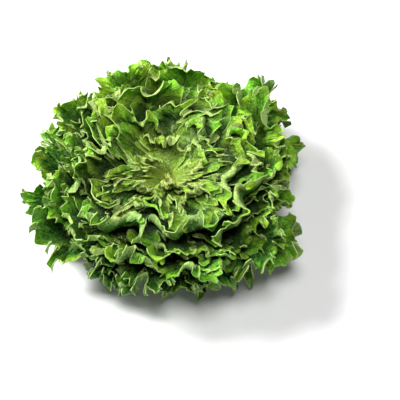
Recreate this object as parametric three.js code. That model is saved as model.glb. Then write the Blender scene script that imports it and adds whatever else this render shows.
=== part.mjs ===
// A head of curly endive, as cut: a short stem stump that stands on its cut face, a spiral of
// ruffled leaves that grow from the dome of the stem, and a small folded bud at the heart.
// The frame is in millimetres, +Z up, with the origin at the middle of the cut face.
//
// Every leaf lies in its own layer. A point of a leaf is given by its azimuth round the stem, by its
// layer (0 for the lowest leaf, 1 for the axis) and by how far out it lies (0 at the stem, 1 at the
// crown, which is the surface that the leaf tips make up). One map takes these three to the frame,
// and no two leaves share a place in them, so the leaves lie as close as in a real head and don't
// cross.

import * as THREE from "three";

// Driving dimensions of the head. The crown is a Bezier curve, turned round the stem: from the
// lowest leaf tips over the rim and down into the heart, as distances from the axis and heights.
const CROWN_OUT = [148, 163, 98, 0];
const CROWN_HEIGHT = [14, 130, 136, 60];
const GROWTH_HEIGHT = 28; // of the growth point above the cut face
const LEAF_COUNT = 58;
const GOLDEN_ANGLE = 137.508; // degrees from one leaf to the next
const LAST_LAYER = 0.93; // the innermost leaf's

// How steeply a leaf leaves the stem and ends, in degrees above the horizon, and how much of its
// length goes in each of these directions.
const FOOT_LOWEST = -18;
const FOOT_HIGHEST = 84;
const TIP_LOWEST = -8;
const TIP_HIGHEST = 122; // over the middle
const TIP_RISE = 1.8; // how early the tips turn up from one layer to the next
const FOOT_HOLD = 0.3;
const TIP_HOLD = 0.45;

// The stem.
const DOME_RADIUS = 19.6;
const DOME_LOW_ANGLE = -40; // degrees, where the dome meets the stump
const STUMP_RADIUS = 15.2;
const CUT_RADIUS = 13.8;
const CUT_BEVEL = 2;
const BUD_HALF_ANGLE = 6.5; // degrees, from the axis to the side of the heart bud
const STEM_SIDES = 36;
const DOME_STEPS = 14;

// A leaf.
const LEAF_BASE = 20; // from the growth point to the foot of a leaf, clear of the dome
const OUTER_HALF_WIDTH = 25; // degrees of azimuth
const HEART_HALF_WIDTH = 40.5;
const OUTLINE_SIDE = [0, 0.8, 1.1, 1]; // Bezier controls from tip to foot, in half widths
const OUTLINE_SHARE = [1, 1, 0.75, 0]; // the same along the leaf, in lengths
const VEIN_ROOTS = [0.74, 0.72, 0.4, 0]; // where the veins that end there leave the midrib
const BLADE_THICKNESS = 0.9;
const EDGE_THICKNESS = 0.7;
const RIB_DEPTH = 3.2; // how far the midrib stands out below the blade, at most
const FOOT_DEPTH = 1.5; // the same at the foot, where the leaves crowd
const LENGTH_SPREAD = 0.07; // leaves are this much longer or shorter
const HEART_LENGTH_SPREAD = 0.11; // the same for the inner leaves

// The layers. All are in steps from one outer leaf's layer to the next leaf's.
const HEART_STEP = 1.3; // between leaves at the heart, which are wider and fewer
const OUTER_SWING = 2; // of the ruffles to either side
const HEART_SWING = 1.35;
const OUTER_TILT = 1.5; // each leaf has one side under one neighbour and the other over another
const HEART_TILT = -0.7;

// The ruffles.
const RUFFLE_REACH = 1.3; // higher keeps them nearer the margin
const RUFFLE_FADE = 0.4; // the share of the margin at the foot that they fade over
const OUTER_WAVES = 8.5;
const HEART_WAVES = 4.5;
const WAVES_SPREAD = 0.8;
const WAVE_DRIFT = 1.1; // radians by which the folds crowd and spread along the margin
const FOLD_LEAN = 0.05; // how far the folds lean over, in wave lengths

// Folds that run through all the leaves that lie on each other, round the stem and from one layer
// to the next.
const RIPPLE = 0.015; // in layers
const RIPPLE_FOLDS = [17, 26];
const RIPPLE_TURNS = [16, -22];

// Wider folds that crowd the leaves into clumps.
const CLUMP = 0.06; // in layers
const CLUMP_FOLDS = [5, 8];
const CLUMP_TURNS = [3, -4];

const PRESS_DEPTH = 2.2; // of the dents that the leaves press into each other

// The head isn't quite round.
const CROWN_LEAN = 0.13; // how far the crown leans to the front, against its height
const SQUARENESS = 0.03; // how much farther it reaches at the corners and less at the sides
const DEPTH_RATIO = 1.05; // from front to back against side to side

// The floor that the outer leaves rest on.
const SETTLE_HEIGHT = 8; // below this the ruffles flatten
const FLOOR_GAP = 0.5;

// How finely the solids are drawn.
const OUTER_COLUMNS = 34;
const HEART_COLUMNS = 20;
const COLUMN_CROWDING = 1.05; // higher puts more columns near the tip
const ROWS = 2;

const radians = THREE.MathUtils.degToRad;
const lerp = THREE.MathUtils.lerp;

function smooth(x) {
  return THREE.MathUtils.smoothstep(x, 0, 1);
}

// A fixed draw between 0 and 1 for each whole number.
function draw(number) {
  const scattered = Math.sin(number * 12.9898 + 4.1414) * 43758.5453;
  return scattered - Math.floor(scattered);
}

// A point of a cubic Bezier curve with these four controls, in one coordinate.
function bezier([a, b, c, d], share) {
  const rest = 1 - share;
  return a * rest ** 3 + 3 * b * rest ** 2 * share + 3 * c * rest * share ** 2 + d * share ** 3;
}

// The line that a layer's leaves follow from the stem to the crown, as [out, height].
function layerLine(layer, share) {
  const foot = radians(lerp(FOOT_LOWEST, FOOT_HIGHEST, layer));
  const rise = 1 - (1 - layer) ** TIP_RISE;
  const end = radians(lerp(TIP_LOWEST, TIP_HIGHEST, rise));
  const footOut = LEAF_BASE * Math.cos(foot);
  const footHeight = GROWTH_HEIGHT + LEAF_BASE * Math.sin(foot);
  const endOut = bezier(CROWN_OUT, layer);
  const endHeight = bezier(CROWN_HEIGHT, layer);
  const span = Math.hypot(endOut - footOut, endHeight - footHeight);
  const [hold, lead] = [FOOT_HOLD * span, TIP_HOLD * span];
  const out = [footOut, footOut + hold * Math.cos(foot), endOut - lead * Math.cos(end), endOut];
  const height = [
    footHeight,
    footHeight + hold * Math.sin(foot),
    endHeight - lead * Math.sin(end),
    endHeight,
  ];
  return [bezier(out, share), bezier(height, share)];
}

// Slow swells that make the head uneven, none at the stem. They are long against their height,
// so that they bend all leaves together and none through another.
function swell(point, share) {
  const size = smooth((share - 0.1) / 0.6);
  const { x, y, z } = point;
  point.x += size * (3.5 * Math.sin(y / 19 + 0.6) + 3 * Math.sin(z / 17 + x / 34));
  point.y += size * (3.5 * Math.sin(x / 21 + 2.1) + 3 * Math.sin(z / 15 - y / 31 + 1));
  point.z += size * (3 * Math.sin(x / 23 - y / 27 + 0.9) + 2.5 * Math.sin(y / 16 + 2.7));
}

// Shorter dents and bulges that the leaves press into each other.
function press(point, share) {
  const size = PRESS_DEPTH * smooth((share - 0.3) / 0.6);
  const { x, y, z } = point;
  point.x += size * Math.sin(y / 8.9 + 0.3) * Math.sin(z / 11 + 1.1);
  point.y += size * Math.sin(x / 9.4 + 1.7) * Math.sin(z / 10.3 + 2);
  point.z += size * Math.sin(x / 10.1 + 2.9) * Math.sin(y / 9.7 + 0.8);
}

// How far the folds that all leaves share move a point to a lower or a higher layer.
function ripple(azimuth, layer, share) {
  const around = radians(azimuth);
  const first = 0.55 * Math.sin(RIPPLE_FOLDS[0] * around + RIPPLE_TURNS[0] * layer + 0.4);
  const second = 0.45 * Math.sin(RIPPLE_FOLDS[1] * around + RIPPLE_TURNS[1] * layer + 1.9);
  const third = 0.6 * Math.sin(CLUMP_FOLDS[0] * around + CLUMP_TURNS[0] * layer + 3.5);
  const fourth = 0.4 * Math.sin(CLUMP_FOLDS[1] * around + CLUMP_TURNS[1] * layer + 0.9);
  const inward = THREE.MathUtils.clamp((1 - layer) / 0.45, 0, 1);
  const size = smooth((share - 0.3) / 0.6) * inward;
  return size * (RIPPLE * inward * (first + second) + CLUMP * (third + fourth));
}

// Ruffles that would reach the floor flatten on it.
function settle(height) {
  if (height > SETTLE_HEIGHT) return height;
  const room = SETTLE_HEIGHT - FLOOR_GAP;
  return FLOOR_GAP + room * Math.exp((height - SETTLE_HEIGHT) / room);
}

// The map from azimuth, layer and share of the way out to a place in the head.
function place(azimuth, layer, share) {
  const folded = THREE.MathUtils.clamp(layer + ripple(azimuth, layer, share), -0.2, 1);
  const [round, height] = layerLine(folded, share);
  const angle = radians(azimuth);
  const out = round * (1 - SQUARENESS * Math.cos(4 * angle) * smooth(share / 0.8));
  const point = new THREE.Vector3(out * Math.cos(angle), out * Math.sin(angle), height);
  swell(point, share);
  press(point, share);
  point.y *= lerp(1, DEPTH_RATIO, smooth(share / 0.6));
  point.y -= CROWN_LEAN * (point.z - LEAF_BASE) * smooth(share / 0.6);
  point.z = settle(point.z);
  return point;
}

// How far a leaf has the wider form of the leaves at the heart, from 0 to 1.
function heartForm(index) {
  return smooth((index / (LEAF_COUNT - 1) - 0.45) / 0.35);
}

// The layer of each leaf, and the step between two of the outer leaves.
function leafLayers() {
  const layers = [0];
  for (let index = 1; index < LEAF_COUNT; index += 1) {
    layers.push(layers[index - 1] + lerp(1, HEART_STEP, heartForm(index)));
  }
  const step = LAST_LAYER / layers[LEAF_COUNT - 1];
  return { step, layers: layers.map((layer) => layer * step) };
}

const spiral = leafLayers();

// What sets one leaf apart from the others. Leaf 0 is the lowest.
function leafPlan(index) {
  const age = index / (LEAF_COUNT - 1);
  const heart = heartForm(index);
  const inner = smooth((age - 0.32) / 0.18);
  return {
    age,
    azimuth: index * GOLDEN_ANGLE,
    layer: spiral.layers[index],
    halfWidth: lerp(OUTER_HALF_WIDTH, HEART_HALF_WIDTH, heart),
    tilt: spiral.step * lerp(OUTER_TILT, HEART_TILT, inner),
    swing: spiral.step * lerp(OUTER_SWING, HEART_SWING, inner),
    tip: 1 + lerp(LENGTH_SPREAD, HEART_LENGTH_SPREAD, inner) * (2 * draw(index) - 1),
    waves: lerp(OUTER_WAVES, HEART_WAVES, heart) + WAVES_SPREAD * (2 * draw(index + 100) - 1),
    phase: 2 * Math.PI * draw(index + 200),
    drift: 2 * Math.PI * draw(index + 300),
    columns: 2 * Math.round(lerp(OUTER_COLUMNS, HEART_COLUMNS, age) / 2),
  };
}

// A point of a leaf's middle surface. Along runs round the margin, from -1 at the left foot over 0
// at the tip to 1 at the right foot. Across runs out along a vein, from 0 on the midrib to 1.
function leafPoint(plan, along, across) {
  const fade = smooth((1 - Math.abs(along)) / RUFFLE_FADE);
  const drift = WAVE_DRIFT * Math.sin(5 * along + plan.drift);
  const turn = Math.PI * plan.waves * along + plan.phase + drift;
  const lean = ((FOLD_LEAN * 2) / plan.waves) * Math.sin(2 * turn) * fade * across ** 2;
  const leaning = along - lean;
  const rim = plan.tip * bezier(OUTLINE_SHARE, Math.abs(leaning));
  const share = lerp(plan.tip * bezier(VEIN_ROOTS, Math.abs(along)), rim, across);
  const sideways = across * Math.sign(leaning) * bezier(OUTLINE_SIDE, Math.abs(leaning));
  const ruffle = plan.swing * fade * across ** RUFFLE_REACH * Math.sin(turn);
  const layer = plan.layer + plan.tilt * sideways + ruffle;
  return place(plan.azimuth + plan.halfWidth * sideways, layer, share);
}

// The midrib's depth below the blade at a column of the leaf.
function ribDepth(plan, along) {
  const share = bezier(VEIN_ROOTS, Math.abs(along)) / VEIN_ROOTS[0];
  const foot = lerp(FOOT_DEPTH, RIB_DEPTH, smooth(share / 0.35));
  return lerp(1, 0.35, plan.age) * foot * (1 - share) ** 0.7 + 0.2;
}

// The leaf's middle surface as an indexed sheet. The left and the right half share the midrib.
function leafSheet(plan) {
  const half = plan.columns / 2;
  const points = [];
  const indexOf = [];
  const columns = [];
  for (let column = 0; column <= plan.columns; column += 1) {
    const even = (column - half) / half;
    const along = Math.sign(even) * Math.abs(even) ** COLUMN_CROWDING;
    indexOf.push([]);
    for (let row = 0; row <= ROWS; row += 1) {
      if (row === 0 && column > half) {
        indexOf[column].push(indexOf[plan.columns - column][0]);
        continue;
      }
      indexOf[column].push(points.length);
      points.push(leafPoint(plan, along, row / ROWS));
      columns.push({ along, across: row / ROWS });
    }
  }
  const faces = [];
  for (let column = 0; column < plan.columns; column += 1) {
    for (let row = 0; row < ROWS; row += 1) {
      const [a, b] = [indexOf[column][row], indexOf[column + 1][row]];
      const [c, d] = [indexOf[column + 1][row + 1], indexOf[column][row + 1]];
      faces.push([a, c, b], [a, d, c]);
    }
  }
  const margin = indexOf.map((column) => column[ROWS]);
  const footRight = indexOf[plan.columns].slice(0, ROWS).reverse();
  const footLeft = indexOf[0].slice(1, ROWS);
  return { points, columns, faces, border: [...margin, ...footRight, ...footLeft] };
}

// Each point's outward direction, longer where the sheet folds, so that the blade keeps its
// thickness on both flanks of a fold.
function sheetNormals({ points, faces }) {
  const sums = points.map(() => new THREE.Vector3());
  const units = points.map(() => []);
  for (const face of faces) {
    const [a, b, c] = face.map((index) => points[index]);
    const normal = new THREE.Triangle(a, b, c).getNormal(new THREE.Vector3());
    for (const index of face) {
      sums[index].add(normal);
      units[index].push(normal);
    }
  }
  return sums.map((sum, index) => {
    const normal = sum.normalize();
    const mean = units[index].reduce((total, unit) => total + unit.dot(normal), 0);
    return normal.divideScalar(Math.max(0.5, mean / units[index].length));
  });
}

// A closed blade: the sheet with its thickness, and the midrib standing out below.
function leafGeometry(plan) {
  const sheet = leafSheet(plan);
  const normals = sheetNormals(sheet);
  const growth = new THREE.Vector3(0, 0, GROWTH_HEIGHT);
  const upper = [];
  const lower = [];
  sheet.points.forEach((point, index) => {
    const { along, across } = sheet.columns[index];
    const normal = normals[index].clone();
    if (Math.abs(along) === 1) {
      const outward = point.clone().sub(growth).normalize();
      normal.addScaledVector(outward, -normal.dot(outward)).normalize();
    }
    const edge = lerp(BLADE_THICKNESS, EDGE_THICKNESS, across) / 2;
    const rib = ribDepth(plan, along) * (1 - across) ** 1.5;
    upper.push(point.clone().addScaledVector(normal, edge));
    lower.push(point.clone().addScaledVector(normal, -edge - rib));
  });
  const under = sheet.points.length;
  const faces = [...sheet.faces, ...sheet.faces.map((f) => f.map((i) => i + under).reverse())];
  sheet.border.forEach((from, index) => {
    const to = sheet.border[(index + 1) % sheet.border.length];
    faces.push([from, to + under, to], [from, from + under, to + under]);
  });
  return closedGeometry([...upper, ...lower], faces);
}

// Points and faces as a geometry whose faces point out.
function closedGeometry(points, faces) {
  let volume = 0;
  for (const face of faces) {
    const [a, b, c] = face.map((index) => points[index]);
    volume += a.dot(b.clone().cross(c));
  }
  const indices = faces.flatMap((face) => (volume < 0 ? [...face].reverse() : face));
  const geometry = new THREE.BufferGeometry().setFromPoints(points);
  geometry.setIndex(indices);
  geometry.computeVertexNormals();
  return geometry;
}

// The stem: a stump with a bevelled cut face, under the dome that the leaves grow from.
function stemGeometry() {
  const profile = [
    new THREE.Vector2(0, 0),
    new THREE.Vector2(CUT_RADIUS, 0),
    new THREE.Vector2(STUMP_RADIUS, CUT_BEVEL),
  ];
  for (let step = 0; step <= DOME_STEPS; step += 1) {
    const angle = radians(lerp(DOME_LOW_ANGLE, 90, step / DOME_STEPS));
    const out = step === DOME_STEPS ? 0 : DOME_RADIUS * Math.cos(angle);
    profile.push(new THREE.Vector2(out, GROWTH_HEIGHT + DOME_RADIUS * Math.sin(angle)));
  }
  const geometry = new THREE.LatheGeometry(profile, STEM_SIDES);
  return geometry.rotateX(Math.PI / 2);
}

// The heart bud: tiny leaves still folded round each other, as a fluted and twisted cone.
const BUD_FOLDS = 5;
const BUD_SIDES = 30;
const BUD_STEPS = 6;
const BUD_TWIST = 1.2; // radians from foot to top
const BUD_TOP = 30; // from the growth point
const BUD_HOLLOW = 5; // how far the middle of the top sinks

function budGeometry() {
  const points = [new THREE.Vector3(0, 0, GROWTH_HEIGHT + LEAF_BASE)];
  const faces = [];
  for (let step = 0; step <= BUD_STEPS; step += 1) {
    const share = step / BUD_STEPS;
    const distance = lerp(LEAF_BASE, BUD_TOP, share);
    for (let side = 0; side < BUD_SIDES; side += 1) {
      const around = (2 * Math.PI * side) / BUD_SIDES;
      const fold = Math.cos(BUD_FOLDS * around);
      const flute = 0.84 + 0.16 * share * fold;
      const out = distance * Math.sin(radians(BUD_HALF_ANGLE)) * flute;
      const turned = around + BUD_TWIST * share;
      const height = GROWTH_HEIGHT + distance + share * 2 * fold;
      points.push(new THREE.Vector3(out * Math.cos(turned), out * Math.sin(turned), height));
    }
  }
  const top = points.length;
  points.push(new THREE.Vector3(0, 0, GROWTH_HEIGHT + BUD_TOP - BUD_HOLLOW));
  for (let side = 0; side < BUD_SIDES; side += 1) {
    const next = (side + 1) % BUD_SIDES;
    faces.push([0, 1 + next, 1 + side]);
    faces.push([top, top - BUD_SIDES + side, top - BUD_SIDES + next]);
    for (let step = 0; step < BUD_STEPS; step += 1) {
      const low = 1 + step * BUD_SIDES;
      const [a, b] = [low + side, low + next];
      faces.push([a, b, b + BUD_SIDES], [a, b + BUD_SIDES, a + BUD_SIDES]);
    }
  }
  return closedGeometry(points, faces);
}

// Outer leaves are deep green, and the leaves at the heart are blanched to a pale yellow green.
function leafMaterial(age) {
  const colour = new THREE.Color("#2f6d16").lerp(new THREE.Color("#b9cf5a"), age ** 2);
  return new THREE.MeshStandardMaterial({ color: colour, roughness: 0.5, metalness: 0 });
}

const head = new THREE.Group();

function add(name, geometry, material) {
  const mesh = new THREE.Mesh(geometry, material);
  mesh.name = name;
  head.add(mesh);
}

const stemMaterial = new THREE.MeshStandardMaterial({ color: "#d9d3a6", roughness: 0.6 });
add("stem", stemGeometry(), stemMaterial);
add("heart_bud", budGeometry(), leafMaterial(1));
for (let index = 0; index < LEAF_COUNT; index += 1) {
  const name = "leaf_" + String(index + 1).padStart(2, "0");
  add(name, leafGeometry(leafPlan(index)), leafMaterial(index / (LEAF_COUNT - 1)));
}

export default head;
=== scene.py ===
"""A head of curly endive on a white floor: ruffled leaves in a spiral round a short cut stem.

The leaves follow the same rules as the solids that they stand in for. Each leaf has its own layer
(0 for the lowest leaf, 1 for the axis), and one map takes an azimuth, a layer and a share of the way
out to a place in the head. Here each leaf is a fine sheet with curled ruffles, a toothed margin,
veins, and a thick midrib below.
"""
import math

import bpy
import numpy as np
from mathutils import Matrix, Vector


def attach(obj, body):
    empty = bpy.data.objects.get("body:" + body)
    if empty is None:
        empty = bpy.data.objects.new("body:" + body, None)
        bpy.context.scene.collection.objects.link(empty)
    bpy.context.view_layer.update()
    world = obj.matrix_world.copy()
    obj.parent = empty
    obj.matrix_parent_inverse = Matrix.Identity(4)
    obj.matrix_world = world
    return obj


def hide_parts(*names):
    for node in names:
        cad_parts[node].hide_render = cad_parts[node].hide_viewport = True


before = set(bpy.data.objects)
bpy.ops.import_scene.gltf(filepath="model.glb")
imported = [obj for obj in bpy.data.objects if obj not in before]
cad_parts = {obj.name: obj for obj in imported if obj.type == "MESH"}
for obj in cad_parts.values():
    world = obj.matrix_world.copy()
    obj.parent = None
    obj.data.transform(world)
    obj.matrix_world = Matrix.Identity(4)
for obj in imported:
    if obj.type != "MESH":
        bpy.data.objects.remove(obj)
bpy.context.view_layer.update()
bpy.ops.object.select_all(action="DESELECT")

MM = 0.001  # a millimetre in the frame's metres

# The head, in millimetres and degrees. The crown is a Bezier curve, turned round the stem: from the
# lowest leaf tips over the rim and down into the heart, as distances from the axis and heights.
CROWN_OUT = (148, 163, 98, 0)
CROWN_HEIGHT = (14, 130, 136, 60)
GROWTH_HEIGHT = 28  # of the growth point above the cut face
LEAF_COUNT = 58
GOLDEN_ANGLE = 137.508
LAST_LAYER = 0.93
FOOT_LOWEST, FOOT_HIGHEST = -18, 84  # how steeply a leaf leaves the stem
TIP_LOWEST, TIP_HIGHEST = -8, 122  # how steeply it ends
TIP_RISE = 1.8
FOOT_HOLD, TIP_HOLD = 0.3, 0.45
LEAF_BASE = 20  # from the growth point to the foot of a leaf
OUTER_HALF_WIDTH, HEART_HALF_WIDTH = 25, 40.5
SETTLE_HEIGHT, FLOOR_GAP = 8, 0.5  # below the first the ruffles flatten, down to the second
PRESS_DEPTH = 2.4  # of the dents that the leaves press into each other
LEAN = 0.13  # how far the crown leans to the front, against its height
LEAN_HEIGHT = 20  # where it leans neither way
SQUARENESS = 0.03
DEEPER = 1.05  # from front to back against side to side
HEART_TWIST = 11  # degrees that the heart leaves turn on their way out

# Folds that run through all the leaves, and wider ones that crowd them into clumps, in layers.
RIPPLE = 0.035
RIPPLE_FOLDS = (17, 26)
RIPPLE_TURNS = (16, -22)
CLUMP = 0.06
CLUMP_FOLDS = (5, 8)
CLUMP_TURNS = (3, -4)
INWARD_REACH = 0.45  # layers from the axis over which the folds grow to their full depth

# A leaf's outline, as Bezier controls from the tip to the foot.
OUTLINE_SIDE = (0, 0.8, 1.1, 1)
OUTLINE_SHARE = (1, 1.0, 0.75, 0)
VEIN_ROOTS = (0.74, 0.72, 0.4, 0)
TIP_REACH = 1.012
LENGTH_SPREAD, HEART_LENGTH_SPREAD = 0.07, 0.11

# What shapes the margin, as shares of the way out, and how often it comes in each fold.
LOBE_DEPTH, LOBES = 0.07, 0.66
SCALLOP_DEPTH, SCALLOPS = 0.012, 4.9
TOOTH_DEPTH, TEETH = 0.012, 4.1
TOOTH_START = 0.8
CRINKLE_DEPTH, CRINKLES = 0.006, 5.7

# The ruffles. Depths are in steps from one outer leaf's layer to the next leaf's.
HEART_STEP = 1.3
OUTER_SWING, HEART_SWING = 2.0, 1.6
OUTER_FRILL, HEART_FRILL = 0.5, 0.3
OUTER_CURL_DEPTH, HEART_CURL_DEPTH = 4.6, 3.2
OUTER_BETWEEN, HEART_BETWEEN = 3.4, 2.4  # how far a small leaf lies above the leaf of its number
OUTER_TILT, HEART_TILT = 1.5, -0.7
RUFFLE_REACH, FRILL_REACH = 1.3, 1.8  # higher keeps them nearer the margin
RUFFLE_FADE = 0.4
OUTER_WAVES, HEART_WAVES, WAVES_SPREAD = 8.5, 4.5, 0.8
WAVE_DRIFT = 1.1
FOLD_LEAN, CURL_LEAN = 0.12, 0.11
LOW_LEAN_LOSS = 0.6  # the lowest leaves lie flatter, and their folds lean less
CURL = 2.4  # radians that the margin curls over, in turn to the inside and to the outside
CURL_REACH = 0.3
OUTER_CURLS, HEART_CURLS = 2.4, 1.45  # curls to each fold
CURL_SPREAD = 0.28  # how much the curls differ in size
LOW_CURL_LOSS = 0.35
LEAST_CURL = 0.01  # so that nothing is divided by zero
HEART_CALM, LOWEST_CALM = 0.55, 0.35  # how much flatter the ruffles of the innermost and lowest are

# The puckers between the veins, in the same steps, and how many there are in each fold.
PUCKER, PUCKERS = 1.1, 3.1
FINE_PUCKER, FINE_PUCKERS = 0.45, 6.3
MARGIN_PUCKER, MARGIN_PUCKERS = 0.3, 8.3
INNER_PUCKER = 0.75  # the inner leaves', against the outer ones'
PUCKER_LOSS = 0.45  # from the midrib to the margin
HEART_PUCKER = 0.9  # how much deeper they are again at the heart

# How thick a leaf is, in millimetres, and how finely it is drawn.
BLADE = 0.8
RIB = 3.6  # the midrib at the foot of the lowest leaf
HEART_RIB = 0.35  # the innermost leaf's, against the lowest one's
RIB_WIDTH_FOOT, RIB_WIDTH_TIP = 0.16, 0.06  # in half widths of the leaf
LOWEST_COLUMNS, HEART_COLUMNS = 124, 56
LOWEST_ROWS, HEART_ROWS = 17, 13
TIP_CROWDING, MARGIN_CROWDING = 1.12, 1.25  # higher puts more columns and rows there
MERGE_DISTANCE = 0.02
SMOOTH_ANGLE = 50

# How light a leaf's green is, from 0 for dark to 1 for light, and how far it is blanched.
LEAST_LIGHT, LIGHT_SPREAD = -0.34, 0.45
# The margin and bulge lights are painted light on the crests of the leaves.
PAINTED_MARGIN_LIGHT, PAINTED_BULGE_LIGHT = 0.68, 0.13
MIDDLE_LIGHT, OLD_LIGHT, HEART_DARK = 0.44, 0.04, 0.22
# The side light is painted light and shade: lighter at the far right, darker at the near left.
PAINTED_SIDE_LIGHT, PAINTED_SIDE_TURN = 0.28, 25
HEART_BLANCH, FOOT_BLANCH = 0.9, 0.8

# The small leaves between the others, against the leaf of the same number.
SMALL_LEAVES = range(3, 53)
SMALL_WIDTH = 0.62
SMALL_SHORTEST, SMALL_LONGEST = 0.82, 1.0
SMALL_WAVES = 0.72
SMALL_SWING, SMALL_FRILL, SMALL_CURL_DEPTH = 0.6, 0.8, 0.7
SMALL_ASIDE = 0.3
SMALL_COLUMNS, SMALL_ROWS, SMALL_RIB = 0.62, 0.8, 0.5


def smooth(x):
    """Runs smoothly from 0 to 1 as x does."""
    x = np.clip(x, 0, 1)
    return x * x * (3 - 2 * x)


def ramp(value, start, end):
    """Rises smoothly from 0 where the value is at the start to 1 where it is at the end."""
    return smooth((value - start) / (end - start))


def lerp(a, b, share):
    return a + (b - a) * share


def draw(number):
    """A fixed draw between 0 and 1 for each whole number."""
    scattered = math.sin(number * 12.9898 + 4.1414) * 43758.5453
    return scattered - math.floor(scattered)


def draw_around(number):
    """The same between -1 and 1."""
    return 2 * draw(number) - 1


def bezier(controls, share):
    a, b, c, d = controls
    rest = 1 - share
    return a * rest**3 + 3 * b * rest**2 * share + 3 * c * rest * share**2 + d * share**3


def layer_line(layer, share):
    """The line that a layer's leaves follow from the stem to the crown, as out and height."""
    foot = np.radians(lerp(FOOT_LOWEST, FOOT_HIGHEST, layer))
    rise = 1 - (1 - layer) ** TIP_RISE
    end = np.radians(lerp(TIP_LOWEST, TIP_HIGHEST, rise))
    foot_out = LEAF_BASE * np.cos(foot)
    foot_height = GROWTH_HEIGHT + LEAF_BASE * np.sin(foot)
    end_out = bezier(CROWN_OUT, layer)
    end_height = bezier(CROWN_HEIGHT, layer)
    span = np.hypot(end_out - foot_out, end_height - foot_height)
    hold = FOOT_HOLD * span
    lead = TIP_HOLD * span
    out = (foot_out, foot_out + hold * np.cos(foot), end_out - lead * np.cos(end), end_out)
    foot_lead = foot_height + hold * np.sin(foot)
    height = (foot_height, foot_lead, end_height - lead * np.sin(end), end_height)
    return bezier(out, share), bezier(height, share)


def swell(x, y, z, share):
    """Slow swells that make the head uneven, none at the stem."""
    size = ramp(share, 0.1, 0.7)
    return (
        x + size * (3.5 * np.sin(y / 19 + 0.6) + 3 * np.sin(z / 17 + x / 34)),
        y + size * (3.5 * np.sin(x / 21 + 2.1) + 3 * np.sin(z / 15 - y / 31 + 1)),
        z + size * (3 * np.sin(x / 23 - y / 27 + 0.9) + 2.5 * np.sin(y / 16 + 2.7)),
    )


def press(x, y, z, share):
    """Shorter dents and bulges that the leaves press into each other."""
    size = PRESS_DEPTH * ramp(share, 0.3, 0.9)
    return (
        x + size * np.sin(y / 8.9 + 0.3) * np.sin(z / 11 + 1.1),
        y + size * np.sin(x / 9.4 + 1.7) * np.sin(z / 10.3 + 2),
        z + size * np.sin(x / 10.1 + 2.9) * np.sin(y / 9.7 + 0.8),
    )


def settle(height):
    """Ruffles that would reach the floor flatten on it."""
    room = SETTLE_HEIGHT - FLOOR_GAP
    low = FLOOR_GAP + room * np.exp(np.minimum(height - SETTLE_HEIGHT, 0) / room)
    return np.where(height > SETTLE_HEIGHT, height, low)


def ripple(azimuth, layer, share):
    """How far the folds that all leaves share move a point to a lower or a higher layer."""
    around = np.radians(azimuth)
    first = 0.55 * np.sin(RIPPLE_FOLDS[0] * around + RIPPLE_TURNS[0] * layer + 0.4)
    second = 0.45 * np.sin(RIPPLE_FOLDS[1] * around + RIPPLE_TURNS[1] * layer + 1.9)
    third = 0.6 * np.sin(CLUMP_FOLDS[0] * around + CLUMP_TURNS[0] * layer + 3.5)
    fourth = 0.4 * np.sin(CLUMP_FOLDS[1] * around + CLUMP_TURNS[1] * layer + 0.9)
    reach = ramp(share, 0.3, 0.9)
    inward = np.clip((1 - layer) / INWARD_REACH, 0, 1)
    return reach * (RIPPLE * inward**2 * (first + second) + CLUMP * inward * (third + fourth))


def place(azimuth, layer, share):
    """The map from azimuth, layer and share of the way out to a place in the head."""
    layer = layer + ripple(azimuth, layer, share)
    out, height = layer_line(np.clip(layer, -0.2, 1), share)
    angle = np.radians(azimuth + HEART_TWIST * share * ramp(layer, 0.6, 0.9))
    out = out * (1 - SQUARENESS * np.cos(4 * angle) * ramp(share, 0, 0.8))
    x, y, z = swell(out * np.cos(angle), out * np.sin(angle), height, share)
    x, y, z = press(x, y, z, share)
    outside = ramp(share, 0, 0.6)
    y = lerp(1, DEEPER, outside) * y - LEAN * (z - LEAN_HEIGHT) * outside
    return np.stack([x, y, settle(z)], axis=-1)


def heart_form(index):
    """How far a leaf has the wider form of the leaves at the heart, from 0 to 1."""
    return float(ramp(index / (LEAF_COUNT - 1), 0.45, 0.8))


LAYERS = [0.0]
for one in range(1, LEAF_COUNT):
    LAYERS.append(LAYERS[-1] + lerp(1, HEART_STEP, heart_form(one)))
STEP = LAST_LAYER / LAYERS[-1]


def leaf_plan(index, small):
    """What sets one leaf apart. A small leaf lies in the gap above the leaf of its number."""
    age = index / (LEAF_COUNT - 1)
    heart = heart_form(index)
    inner = float(ramp(age, 0.32, 0.5))
    seed = index + (500 if small else 0)
    half_width = lerp(OUTER_HALF_WIDTH, HEART_HALF_WIDTH, heart)
    calm = 1 - HEART_CALM * float(ramp(age, 0.8, 1)) - LOWEST_CALM * float(ramp(age, 0.12, 0))
    plan = {
        "age": age,
        "inner": inner,
        "azimuth": index * GOLDEN_ANGLE,
        "layer": LAYERS[index] * STEP,
        "half_width": half_width,
        "slope": STEP * lerp(OUTER_TILT, HEART_TILT, inner) / half_width,
        "swing": calm * STEP * lerp(OUTER_SWING, HEART_SWING, inner),
        "frill": calm * STEP * lerp(OUTER_FRILL, HEART_FRILL, inner),
        "curl_depth": calm * STEP * lerp(OUTER_CURL_DEPTH, HEART_CURL_DEPTH, inner),
        "tip": TIP_REACH + lerp(LENGTH_SPREAD, HEART_LENGTH_SPREAD, inner) * draw_around(seed),
        "waves": lerp(OUTER_WAVES, HEART_WAVES, heart) + WAVES_SPREAD * draw_around(seed + 100),
        "phase": 2 * math.pi * draw(seed + 200),
        "drift": 2 * math.pi * draw(seed + 300),
    }
    if small:
        offset = draw_around(seed + 400) * SMALL_ASIDE * half_width
        plan["azimuth"] += offset
        plan["layer"] += plan["slope"] * offset + STEP * lerp(OUTER_BETWEEN, HEART_BETWEEN, inner)
        plan["half_width"] *= SMALL_WIDTH
        plan["tip"] = lerp(SMALL_SHORTEST, SMALL_LONGEST, draw(seed))
        plan["waves"] *= SMALL_WAVES
        plan["swing"] *= SMALL_SWING
        plan["frill"] *= SMALL_FRILL
        plan["curl_depth"] *= SMALL_CURL_DEPTH
    return plan


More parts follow.
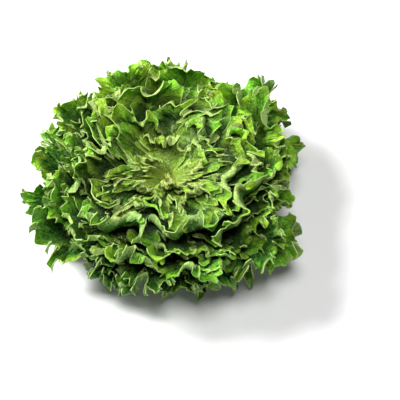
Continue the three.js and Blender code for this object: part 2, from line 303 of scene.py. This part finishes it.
def lobed_rim(plan, along, rim, turn, fade):
    """How far out the margin lies, with its rounded lobes and scallops."""
    phase, drift = plan["phase"], plan["drift"]
    lobe_turn = LOBES * turn + 1.2 * np.sin(3 * along + phase) + drift
    lobe = LOBE_DEPTH * (0.5 - 0.5 * np.cos(lobe_turn)) ** 1.5 * fade * ramp(rim, 0.25, 0.55)
    scallop = SCALLOP_DEPTH * np.sin(SCALLOPS * turn + 2 * np.sin(1.3 * turn + drift)) * fade
    return rim - lobe + scallop


def margin_teeth(turn, across, fade):
    """How far the small teeth of the margin stand out."""
    teeth_turn = TEETH * turn + 1.5 * np.sin(1.7 * turn)
    return TOOTH_DEPTH * (np.abs(np.sin(teeth_turn)) - 0.6) * ramp(across, TOOTH_START, 1) * fade


def pucker_height(plan, turn, along_vein, fade):
    """How far the blade bulges between its veins, in layers."""
    drift = plan["drift"]
    wide = np.sin(9 * along_vein + 2 * np.sin(2.3 * turn)) * np.sqrt(along_vein)
    pucker = PUCKER * np.sin(PUCKERS * turn + drift) * wide
    fine = np.sin(16 * along_vein + 2 * np.sin(3.7 * turn))
    pucker += FINE_PUCKER * np.sin(FINE_PUCKERS * turn + 2 * drift) * fine
    pucker *= STEP * (1 - PUCKER_LOSS * along_vein) * lerp(1, INNER_PUCKER, plan["inner"]) * fade
    pucker *= 1 + HEART_PUCKER * float(ramp(plan["age"], 0.6, 0.9))
    at_margin = np.sin(MARGIN_PUCKERS * turn + 3 * np.sin(0.9 * turn)) * along_vein**3 * fade
    return pucker + MARGIN_PUCKER * STEP * at_margin


def leaf_points(plan, along, across):
    """The places of a leaf's points, their shares of the way out, and how far they bulge.

    Along runs round the margin, from -1 at the left foot over 0 at the tip to 1 at the right foot.
    Across runs out along a vein, from 0 on the midrib to 1.
    """
    waves, phase, drift, inner = plan["waves"], plan["phase"], plan["drift"], plan["inner"]
    low = float(ramp(plan["age"], 0.25, 0))
    fade = ramp(np.abs(along), 1, 1 - RUFFLE_FADE)
    turn = math.pi * waves * along + phase + WAVE_DRIFT * np.sin(5 * along + drift)
    curls = lerp(OUTER_CURLS, HEART_CURLS, inner * plan["age"] ** 2)
    curl_turn = curls * turn + 1.1 * np.sin(1.3 * turn + drift) + 2 * phase
    curl_size = 1 - CURL_SPREAD + CURL_SPREAD * np.sin(0.61 * turn + 2 * drift)

    # Folds and curls lean over, so that the margin meanders.
    lean = (1 - LOW_LEAN_LOSS * low) * (FOLD_LEAN * 2 / waves) * np.sin(2 * turn) * across**2
    lean += (CURL_LEAN * 2 / (2.15 * waves)) * np.sin(2 * curl_turn) * across**3
    leaning = along - lean * fade
    reach = np.abs(leaning)
    rim = plan["tip"] * bezier(OUTLINE_SHARE, reach)
    root = plan["tip"] * bezier(VEIN_ROOTS, np.abs(along))
    teeth = margin_teeth(turn, across, fade)

    # The last stretch of each vein curls over.
    crimp = np.sin(curl_turn) + 0.12 * np.sin(3.3 * curl_turn + drift)
    curl = CURL * (1 - LOW_CURL_LOSS * low) * crimp * curl_size * fade
    curl = np.where(np.abs(curl) < LEAST_CURL, LEAST_CURL, curl)
    curl_start = 1 - CURL_REACH
    curled = curl * np.clip((across - 1 + CURL_REACH) / CURL_REACH, 0, 1)
    along_vein = across
    across = np.where(across > curl_start, curl_start + CURL_REACH * np.sin(curled) / curl, across)

    crinkle_turn = CRINKLES * turn + 2 * np.sin(1.1 * turn)
    crinkle = CRINKLE_DEPTH * np.sin(crinkle_turn) * np.sin(11 * along_vein + drift)
    share = lerp(root, lobed_rim(plan, along, rim, turn, fade), across) + teeth + crinkle * fade
    sideways = across * np.sign(leaning) * bezier(OUTLINE_SIDE, reach)
    frill = plan["frill"] * curl_size * np.sin(curl_turn) * across**FRILL_REACH
    pucker = pucker_height(plan, turn, along_vein, fade)
    ruffle = fade * (plan["swing"] * np.sin(turn) * across**RUFFLE_REACH + frill) + pucker
    ruffle += plan["curl_depth"] * (1 - np.cos(curled)) / curl
    aside = plan["half_width"] * sideways
    layer = plan["layer"] + plan["slope"] * aside + ruffle
    return place(plan["azimuth"] + aside, layer, share), share, pucker / STEP


def linear(hex_colour):
    """An sRGB hex colour as the linear values that materials and lights take."""
    value = hex_colour.lstrip("#")
    parts = [int(value[i:i + 2], 16) / 255 for i in (0, 2, 4)]
    return tuple(p / 12.92 if p <= 0.04045 else ((p + 0.055) / 1.055) ** 2.4 for p in parts) + (1,)


def node(tree, kind, settings=None, **inputs):
    """Adds a node. An input goes by its name, or by i and its number where the node has no such name."""
    made = tree.nodes.new(kind)
    for name, value in (settings or {}).items():
        setattr(made, name, value)
    for name, value in inputs.items():
        socket = made.inputs[name] if name in made.inputs else made.inputs[int(name[1:])]
        if isinstance(value, bpy.types.NodeSocket):
            tree.links.new(value, socket)
        else:
            socket.default_value = value
    return made


MATH, MIX, RANGE = "ShaderNodeMath", "ShaderNodeMix", "ShaderNodeMapRange"
NOISE = "ShaderNodeTexNoise"
ADD = {"operation": "ADD"}
MULTIPLY = {"operation": "MULTIPLY"}
MULTIPLY_ADD = {"operation": "MULTIPLY_ADD"}
MAXIMUM = {"operation": "MAXIMUM"}
COLOURS = {"data_type": "RGBA"}  # such a mix takes its colours at i6 and i7 and gives output 2


def new_material(name):
    material = bpy.data.materials.new(name)
    material.use_nodes = True
    return material, material.node_tree, material.node_tree.nodes["Principled BSDF"]


# Sizes of the leaf's patterns, in millimetres, as noise scales to the metre.
PATCH_SCALE = 38.0  # lighter and darker patches 26 mm wide
HUE_SCALE = 27.0  # yellowed stretches 37 mm wide
MOTTLE_SCALE = 210.0  # mottling 5 mm wide
PUCKER_SCALE = 160.0  # the finest puckers, 6 mm wide
NET_SCALE = 240.0  # meshes of the vein net, 4 mm wide, coarser than the real ones so that they show
SIDE_VEINS = 34.0  # side veins round a leaf
VEIN_STRENGTH = 0.68
# The near-black green of the painted shade deep between the leaves.
PAINTED_SHADE_COLOUR = "#10200a"
RIM_COLOUR = "#b4c185"
RIM_START, RIM_END, RIM_STRENGTH = 0.98, 0.995, 0.45


def leaf_green(tree, coords, parts, patch, dark, light, yellowed, blanched):
    """Dark green to yellow green in patches, yellowed in stretches and blanched at heart and foot."""
    blanch, tone = parts.outputs[0], parts.outputs[1]
    mottle = node(tree, NOISE, Vector=coords, Scale=MOTTLE_SCALE, Detail=2.0)
    patched = node(tree, MATH, MULTIPLY_ADD, i0=patch, i1=1.3, i2=-0.65)
    mottled = node(tree, MATH, MULTIPLY_ADD, i0=mottle.outputs["Fac"], i1=1.7, i2=-0.84)
    uneven = node(tree, MATH, ADD, i0=patched.outputs[0], i1=mottled.outputs[0])
    tones = node(tree, MATH, {**ADD, "use_clamp": True}, i0=uneven.outputs[0], i1=tone)
    hue = node(tree, NOISE, Vector=coords, Scale=HUE_SCALE, Detail=1.0)
    hue_share = node(tree, RANGE, i0=hue.outputs["Fac"], i1=0.42, i2=0.62, i3=0.0, i4=0.75)
    bright = node(tree, MIX, COLOURS, i0=hue_share.outputs[0], i6=linear(light), i7=linear(yellowed))
    green = node(tree, MIX, COLOURS, i0=tones.outputs[0], i6=linear(dark), i7=bright.outputs[2])
    return node(tree, MIX, COLOURS, i0=blanch, i6=green.outputs[2], i7=linear(blanched)).outputs[2]


def leaf_veins(tree, coords, uv, patch):
    """Side veins that run out from the midrib and fade, with a fine net between them."""
    around = node(tree, MATH, MULTIPLY, i0=uv.outputs["X"], i1=SIDE_VEINS)
    wobble = node(tree, MATH, MULTIPLY_ADD, i0=patch, i1=1.6, i2=around.outputs[0])
    saw = node(tree, MATH, {"operation": "PINGPONG"}, i0=wobble.outputs[0], i1=0.5)
    smooth_step = {"interpolation_type": "SMOOTHSTEP"}
    line = node(tree, RANGE, smooth_step, i0=saw.outputs[0], i1=0.0, i2=0.16, i3=1.0, i4=0.0)
    faded = node(tree, RANGE, i0=uv.outputs["Y"], i1=0.05, i2=0.95, i3=1.0, i4=0.12)
    side = node(tree, MATH, MULTIPLY, i0=line.outputs[0], i1=faded.outputs[0])
    edges = {"feature": "DISTANCE_TO_EDGE"}
    net = node(tree, "ShaderNodeTexVoronoi", edges, Vector=coords, Scale=NET_SCALE)
    net_line = node(tree, RANGE, i0=net.outputs["Distance"], i1=0.0, i2=0.12, i3=0.45, i4=0.0)
    return node(tree, MATH, MAXIMUM, i0=side.outputs[0], i1=net_line.outputs[0]).outputs[0]


def leaf_relief(tree, coords, vein):
    """Veins sunk into the face, and the finest puckers between them."""
    sunk = node(tree, MATH, {"operation": "SUBTRACT"}, i0=0.0, i1=vein)
    pucker = node(tree, NOISE, Vector=coords, Scale=PUCKER_SCALE, Detail=2.0)
    relief = node(tree, MATH, ADD, i0=sunk.outputs[0], i1=pucker.outputs["Fac"])
    bump = node(tree, "ShaderNodeBump", Strength=1.0, Distance=0.0019, Height=relief.outputs[0])
    return bump.outputs["Normal"]


def leaf_material(name, greens, vein_colour, roughness, painted_shade_strength):
    """Fresh leaf with a thin wax: soft broad highlights, and light that goes a little way in.

    The point attribute holds how blanched a point is, how light its green is (partly painted light),
    how much it lies on the midrib and how much painted shade it gets deep between the leaves.
    """
    material, tree, shader = new_material(name)
    growth_and_painted_light = node(tree, "ShaderNodeAttribute", {"attribute_name": "growth_and_painted_light"})
    parts = node(tree, "ShaderNodeSeparateColor", Color=growth_and_painted_light.outputs["Color"])
    coords = node(tree, "ShaderNodeTexCoord").outputs["Object"]
    uv_map = node(tree, "ShaderNodeUVMap", {"uv_map": "UVMap"})
    uv = node(tree, "ShaderNodeSeparateXYZ", Vector=uv_map.outputs["UV"])
    patch = node(tree, NOISE, Vector=coords, Scale=PATCH_SCALE, Detail=3.0).outputs["Fac"]
    green = leaf_green(tree, coords, parts, patch, *greens)
    vein = leaf_veins(tree, coords, uv, patch)
    ribbed = node(tree, MATH, MAXIMUM, i0=vein, i1=parts.outputs[2])
    strength = node(tree, MATH, MULTIPLY, i0=ribbed.outputs[0], i1=VEIN_STRENGTH)
    veined = node(tree, MIX, COLOURS, i0=strength.outputs[0], i6=green, i7=linear(vein_colour))
    out = uv.outputs["Y"]
    rim = node(tree, RANGE, i0=out, i1=RIM_START, i2=RIM_END, i3=0.0, i4=RIM_STRENGTH)
    edged = node(tree, MIX, COLOURS, i0=rim.outputs[0], i6=veined.outputs[2], i7=linear(RIM_COLOUR))
    # Painted shade: deep between the leaves the colour goes over to a near-black green.
    shade = node(tree, MATH, MULTIPLY, i0=growth_and_painted_light.outputs["Alpha"], i1=painted_shade_strength)
    painted_shade_colour = linear(PAINTED_SHADE_COLOUR)
    sunk = node(tree, MIX, COLOURS, i0=shade.outputs[0], i6=edged.outputs[2], i7=painted_shade_colour)
    tree.links.new(sunk.outputs[2], shader.inputs["Base Color"])
    tree.links.new(leaf_relief(tree, coords, vein), shader.inputs["Normal"])
    shader.inputs["Roughness"].default_value = roughness
    shader.inputs["Specular IOR Level"].default_value = 0.27
    shader.inputs["Subsurface Weight"].default_value = 0.25
    shader.inputs["Subsurface Radius"].default_value = (0.6, 1.0, 0.15)
    shader.inputs["Subsurface Scale"].default_value = 0.0025
    return material


def edge_material(name, green, pale, roughness):
    """The thin rim of a blade, where the pale inside of the leaf shows in patches 11 mm wide."""
    material, tree, shader = new_material(name)
    coords = node(tree, "ShaderNodeTexCoord")
    patch = node(tree, NOISE, Vector=coords.outputs["Object"], Scale=90.0, Detail=2.0)
    share = node(tree, RANGE, i0=patch.outputs["Fac"], i1=0.35, i2=0.65, i3=0.0, i4=1.0)
    mixed = node(tree, MIX, COLOURS, i0=share.outputs[0], i6=linear(green), i7=linear(pale))
    tree.links.new(mixed.outputs[2], shader.inputs["Base Color"])
    shader.inputs["Roughness"].default_value = roughness
    return material


CUT_FACE_TOP = 0.0005  # metres above the floor, up to which the stem shows its cut face
STREAK_LENGTH_SCALE = 40  # streaks 25 mm long
RING_SCALE = 320.0  # browning in patches 3 mm wide


def streaked_material(name, pale, streak, cut, streaks_a_metre, roughness):
    """Watery flesh with streaks along the stem, and a cut face at the bottom that browns."""
    material, tree, shader = new_material(name)
    coords = node(tree, "ShaderNodeTexCoord").outputs["Object"]
    stretch = node(tree, "ShaderNodeMapping", Vector=coords)
    stretch.inputs["Scale"].default_value = (streaks_a_metre, streaks_a_metre, STREAK_LENGTH_SCALE)
    streaks = node(tree, NOISE, Vector=stretch.outputs["Vector"], Scale=1.0, Detail=4.0)
    amount = node(tree, RANGE, i0=streaks.outputs["Fac"], i1=0.35, i2=0.7, i3=0.0, i4=1.0)
    flesh = node(tree, MIX, COLOURS, i0=amount.outputs[0], i6=linear(pale), i7=linear(streak))
    height = node(tree, "ShaderNodeSeparateXYZ", Vector=coords).outputs["Z"]
    on_cut = node(tree, MATH, {"operation": "LESS_THAN"}, i0=height, i1=CUT_FACE_TOP)
    rings = node(tree, NOISE, Vector=coords, Scale=RING_SCALE, Detail=3.0)
    browning = node(tree, MIX, COLOURS, i0=rings.outputs["Fac"], i6=linear(cut), i7=linear(pale))
    faced = node(tree, MIX, COLOURS, i0=on_cut.outputs[0], i6=flesh.outputs[2], i7=browning.outputs[2])
    tree.links.new(faced.outputs[2], shader.inputs["Base Color"])
    bump = node(tree, "ShaderNodeBump", Strength=0.4, Distance=0.0006, Height=streaks.outputs["Fac"])
    tree.links.new(bump.outputs["Normal"], shader.inputs["Normal"])
    shader.inputs["Roughness"].default_value = roughness
    shader.inputs["Subsurface Weight"].default_value = 0.15
    shader.inputs["Subsurface Scale"].default_value = 0.003
    return material


# Each leaf face goes from dark over light and yellowed to blanched green.
upper_greens = ("#0c4f0c", "#76bb25", "#9dbd2b", "#8f9f36")
under_greens = ("#3a7621", "#99b95c", "#acba6a", "#9ea74e")
# The last number is how strong the painted shade between the leaves is on each face.
leaf_upper = leaf_material("leaf_upper_face", upper_greens, "#8fae4e", 0.5, 0.88)
leaf_under = leaf_material("leaf_under_face", under_greens, "#b4c28a", 0.55, 0.66)
leaf_edge = edge_material("leaf_cut_edge", "#86a84a", "#9ab662", 0.5)


def leaf_grid(name, columns, rows):
    """A flat grid, and for each of its points where it lies along the margin and across the leaf."""
    bpy.ops.mesh.primitive_grid_add(x_subdivisions=columns, y_subdivisions=rows, size=2, calc_uvs=True)
    leaf = bpy.context.object
    leaf.name = name
    flat = np.empty(len(leaf.data.vertices) * 3)
    leaf.data.vertices.foreach_get("co", flat)
    flat = flat.reshape(-1, 3)
    along = -np.sign(flat[:, 0]) * np.abs(flat[:, 0]) ** TIP_CROWDING
    across = 1 - (1 - (flat[:, 1] + 1) / 2) ** MARGIN_CROWDING
    return leaf, along, across


def midrib(age, small, across, share):
    """How thick the midrib is at each point, and how much of a bulge it makes there."""
    thickest = RIB * lerp(1, HEART_RIB, age) * np.clip(share / 0.15, 0.5, 1)
    rib = thickest * (1 - np.clip(share, 0, 1)) ** 0.7
    if small:
        rib *= SMALL_RIB
    width = lerp(RIB_WIDTH_FOOT, RIB_WIDTH_TIP, np.clip(share / 0.8, 0, 1))
    bulge = np.exp(-((across / width) ** 2))
    return rib * bulge, bulge


def leaf_growth_and_painted_light(index, small, plan, across, share, blister, bulge):
    """For each point of a leaf: how blanched, how light with painted light, how much on the midrib, and
    painted shade.
    """
    age = plan["age"]
    at_heart = ramp(age, 0.74, 1.14)
    at_foot = ramp(share, 0.35, -0.05)
    blanch = np.clip(at_heart * HEART_BLANCH + at_foot * FOOT_BLANCH, 0, 1)
    # Painted light: lighter towards the margin and on the bulges, where the crests catch the light.
    # Lighter also leaf by leaf up to the middle rows.
    tone = LEAST_LIGHT + LIGHT_SPREAD * draw(index + (700 if small else 300))
    tone = tone + PAINTED_MARGIN_LIGHT * ramp(across, 0.58, 0.95) + PAINTED_BULGE_LIGHT * blister
    tone += MIDDLE_LIGHT * float(ramp(age, 0.15, 0.5))
    # Painted light and shade: the older leaves at the far right are lighter than those at the near left.
    old = 1 - float(ramp(age, 0.72, 0.92))
    side = math.sin(math.radians(plan["azimuth"] + PAINTED_SIDE_TURN))
    tone += old * (PAINTED_SIDE_LIGHT * side + OLD_LIGHT) - HEART_DARK * (1 - old)
    # Painted shade: darker deep between the leaves towards their feet, less on the lowest leaves and
    # none at the heart.
    painted_shade = ramp(share, 0.93, 0.67) * (1 - ramp(age, 0.72, 0.94)) * lerp(0.5, 1, ramp(age, 0, 0.2))
    return np.stack([blanch, tone, np.clip(bulge * (1.1 - share), 0, 1), painted_shade], axis=-1)


def thicken(leaf, thickness):
    """Gives a sheet its thickness, downwards from the upper face, in millimetres at each point."""
    group = leaf.vertex_groups.new(name="thickness")
    most = BLADE + RIB
    for vertex, weight in enumerate(thickness / most):
        group.add([vertex], float(weight), "REPLACE")
    # The two halves of the grid meet along the midrib, where their points are merged.
    bpy.ops.object.mode_set(mode="EDIT")
    bpy.ops.mesh.select_all(action="SELECT")
    bpy.ops.mesh.remove_doubles(threshold=MERGE_DISTANCE * MM)
    bpy.ops.object.mode_set(mode="OBJECT")
    for material in (leaf_upper, leaf_under, leaf_edge):
        leaf.data.materials.append(material)
    solid = leaf.modifiers.new("blade", "SOLIDIFY")
    solid.thickness = most * MM
    solid.thickness_vertex_group = 0.0
    solid.vertex_group = "thickness"
    solid.offset = -1
    solid.use_even_offset = False
    solid.material_offset = 1
    solid.material_offset_rim = 2
    bpy.ops.object.modifier_apply(modifier="blade")
    bpy.ops.object.shade_smooth_by_angle(angle=math.radians(SMOOTH_ANGLE))


def make_leaf(index, small=False):
    """One leaf with its finish. It stands in for the solid of its number, unless it is a small one."""
    plan = leaf_plan(index, small)
    age = plan["age"]
    name = ("small_leaf_%02d" if small else "endive_leaf_%02d") % (index + 1)
    columns = 2 * round(lerp(LOWEST_COLUMNS, HEART_COLUMNS, age) * (SMALL_COLUMNS if small else 1))
    rows = round(lerp(LOWEST_ROWS, HEART_ROWS, age) * (SMALL_ROWS if small else 1))
    leaf, along, across = leaf_grid(name, columns, rows)
    points, share, blister = leaf_points(plan, along, across)
    leaf.data.vertices.foreach_set("co", (points * MM).ravel())
    rib, bulge = midrib(age, small, across, share)
    growth_and_painted_light = leaf_growth_and_painted_light(index, small, plan, across, share, blister, bulge)
    attribute = leaf.data.attributes.new("growth_and_painted_light", "FLOAT_COLOR", "POINT")
    attribute.data.foreach_set("color", growth_and_painted_light.ravel())
    thicken(leaf, BLADE + rib)
    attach(leaf, "root")
    if not small:
        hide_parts("leaf_%02d" % (index + 1))
    leaf.select_set(False)


for leaf_index in range(LEAF_COUNT):
    make_leaf(leaf_index)
for leaf_index in SMALL_LEAVES:
    make_leaf(leaf_index, small=True)

# The stem and the folded heart bud are the solids of the part with their own finish.
stem_flesh = streaked_material("stem_flesh", "#e2e0b4", "#c3cc8a", "#b79a63", 320, 0.55)
folded_heart = streaked_material("folded_heart_leaf", "#cfd67c", "#a5b94c", "#cfd67c", 420, 0.45)
for name, material in (("stem", stem_flesh), ("heart_bud", folded_heart)):
    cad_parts[name].data.materials.clear()
    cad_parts[name].data.materials.append(material)

# The floor is matt white paper.
FLOOR_SIZE = 8
FLOOR_BELOW = 0.0003
bpy.ops.mesh.primitive_plane_add(size=FLOOR_SIZE)
floor = bpy.context.object
floor.name = "floor"
floor.location.z = -FLOOR_BELOW
paper, _, paper_shader = new_material("white_paper")
paper_shader.inputs["Base Color"].default_value = linear("#e4e4e4")
paper_shader.inputs["Roughness"].default_value = 0.9
paper_shader.inputs["Emission Color"].default_value = linear("#ffffff")
paper_shader.inputs["Emission Strength"].default_value = 0.03
floor.data.materials.append(paper)

# The camera looks down on the head from the front, with a long lens.
CAMERA_ELEVATION = math.radians(55)
CAMERA_DISTANCE = 1.6
MM_PER_PIXEL = 1.1
PHOTO_PIXELS = 400
SENSOR_WIDTH = 36
HEAD_MIDDLE = Vector((0, 0, 0.05))
AIM_RIGHT, AIM_DOWN = 0.036, 0.022  # the head lies up and left of the photo's middle
look = Vector((0, math.cos(CAMERA_ELEVATION), -math.sin(CAMERA_ELEVATION)))
right = Vector((1, 0, 0))
up = right.cross(look)
aim = HEAD_MIDDLE + right * AIM_RIGHT - up * AIM_DOWN
camera_data = bpy.data.cameras.new("camera")
camera = bpy.data.objects.new("camera", camera_data)
bpy.context.scene.collection.objects.link(camera)
camera.location = aim - look * CAMERA_DISTANCE
camera.rotation_euler = look.to_track_quat("-Z", "Y").to_euler()
camera_data.sensor_width = SENSOR_WIDTH
camera_data.lens = SENSOR_WIDTH * CAMERA_DISTANCE / (PHOTO_PIXELS * MM_PER_PIXEL * MM)
bpy.context.scene.camera = camera


def area_light(name, location, size, power):
    """A round white soft box that faces the foot of the head. Places and sizes are in metres."""
    data = bpy.data.lights.new(name, "AREA")
    data.shape = "DISK"
    data.size = size
    data.energy = power
    lamp = bpy.data.objects.new(name, data)
    bpy.context.scene.collection.objects.link(lamp)
    lamp.location = location
    lamp.rotation_euler = (-Vector(location)).to_track_quat("-Z", "Y").to_euler()


# The key light comes from the upper left, and a weaker one above opens the hollows.
area_light("key_light", (-1.5, 0.5, 1.62), 1.05, 118)
area_light("top_light", (0.15, -0.5, 2.2), 0.9, 42)
world = bpy.data.worlds.new("studio")
world.use_nodes = True
world.node_tree.nodes["Background"].inputs["Color"].default_value = linear("#ffffff")
world.node_tree.nodes["Background"].inputs["Strength"].default_value = 0.07
bpy.context.scene.world = world
bpy.context.scene.view_settings.view_transform = "Standard"
